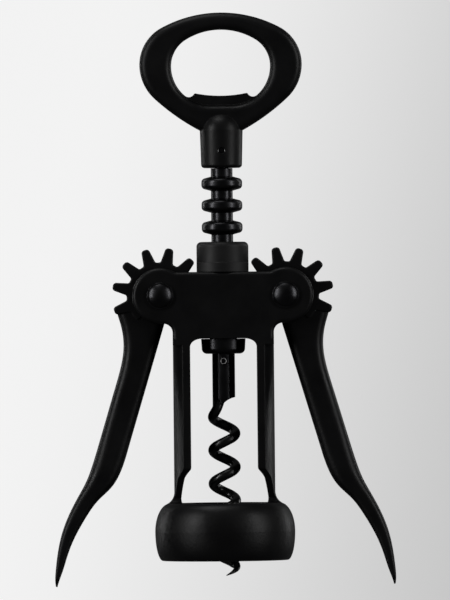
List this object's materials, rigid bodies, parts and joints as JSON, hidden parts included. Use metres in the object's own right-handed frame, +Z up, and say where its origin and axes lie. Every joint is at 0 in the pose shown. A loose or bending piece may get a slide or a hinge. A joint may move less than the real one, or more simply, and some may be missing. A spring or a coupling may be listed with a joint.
{
  "type": "winged corkscrew",
  "caption": "Lever corkscrew: swinging geared arms raise a ringed rack and its turning worm out of a bell that seats on a bottle; the handle is a cap-opener ring.",
  "frame": {"origin": "centre of the bottle seat, on the worm's axis, in the plane where the liner's flange rests on the bottle's lip", "axes": "+X to the right arm, +Y to the back, +Z up along the worm to the handle"},
  "size_m": [0.0978, 0.0402, 0.1645],
  "materials": {
    "body_coat": "satin black coat on die-cast metal",
    "dark_steel": "black-oxide turned steel, oiled",
    "worm_coat": "black non-stick coat on spring steel",
    "nylon": "moulded black nylon"
  },
  "bodies": {
    "frame": {"frame": "body_coat", "bell_liner": "nylon", "upper_guide_bush": "nylon", "lower_guide_ring": "nylon", "left_pivot_pin": "dark_steel", "right_pivot_pin": "dark_steel", "left_front_pivot_washer": "dark_steel", "left_back_pivot_washer": "dark_steel", "right_front_pivot_washer": "dark_steel", "right_back_pivot_washer": "dark_steel"},
    "left_arm": {"left_lever": "body_coat"},
    "right_arm": {"right_lever": "body_coat"},
    "rack": {"rack_sleeve": "dark_steel"},
    "screw": {"handle": "body_coat", "handle_pin": "dark_steel", "spindle": "dark_steel", "worm_chuck": "dark_steel", "chuck_pin": "dark_steel", "worm": "worm_coat", "upper_thrust_washer": "nylon", "lower_thrust_washer": "nylon"}
  },
  "joints": [
    {"name": "left_arm_swing", "type": "hinge", "parent": "frame", "child": "left_arm", "pos_m": [-0.018, 0, 0.06455], "axis": [0, 1, 0], "range_deg": [0, 100]},
    {"name": "right_arm_swing", "type": "hinge", "parent": "frame", "child": "right_arm", "pos_m": [0.018, 0, 0.06455], "axis": [0, -1, 0], "range_deg": [0, 100]},
    {"name": "rack_slide", "type": "slide", "parent": "frame", "child": "rack", "axis": [0, 0, -1], "range_m": [0, 0.02094]},
    {"name": "screw_turn", "type": "hinge", "parent": "rack", "child": "screw", "pos_m": [0, 0, 0], "axis": [0, 0, 1], "continuous": true}
  ],
  "couplings": [
    {"joint": "right_arm_swing", "follows": "left_arm_swing", "ratio": 1},
    {"joint": "rack_slide", "follows": "left_arm_swing", "m_per_rad": 0.012}
  ]
}
